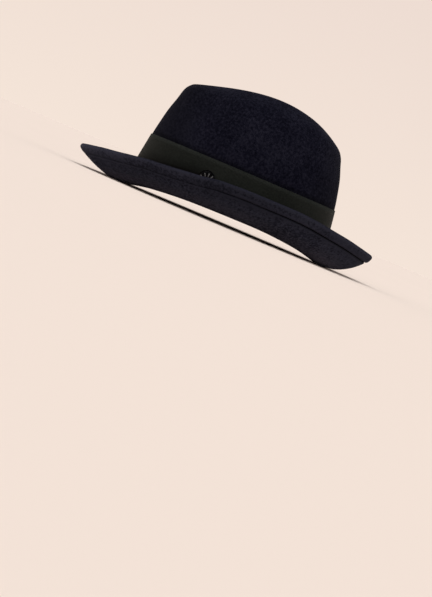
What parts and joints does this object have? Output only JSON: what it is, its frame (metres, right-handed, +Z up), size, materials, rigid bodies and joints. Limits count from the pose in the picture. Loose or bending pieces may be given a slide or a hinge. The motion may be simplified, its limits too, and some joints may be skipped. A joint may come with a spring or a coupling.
{
  "type": "felt hat",
  "caption": "Felt hat with a teardrop-dented crown, a brim turned up all round, a flat ribbon band with a small cut stone, and a sweatband.",
  "frame": {"origin": "on the surface that the hat rests on, under the middle of its brim", "axes": "+Z up out of the crown, -Y to the front of the hat, +X to the wearer's left"},
  "size_m": [0.2568, 0.2949, 0.1274],
  "materials": {
    "felt": "matt midnight blue wool felt with a fine nap",
    "ribbon": "black grosgrain with fine upright ribs and a faint green cast",
    "sweatband_leather": "dark red-brown leather, low sheen",
    "stone": "polished black"
  },
  "bodies": {
    "root": {"felt_body": "felt", "ribbon_band": "ribbon", "sweatband": "sweatband_leather", "band_stone": "stone"}
  },
  "joints": []
}
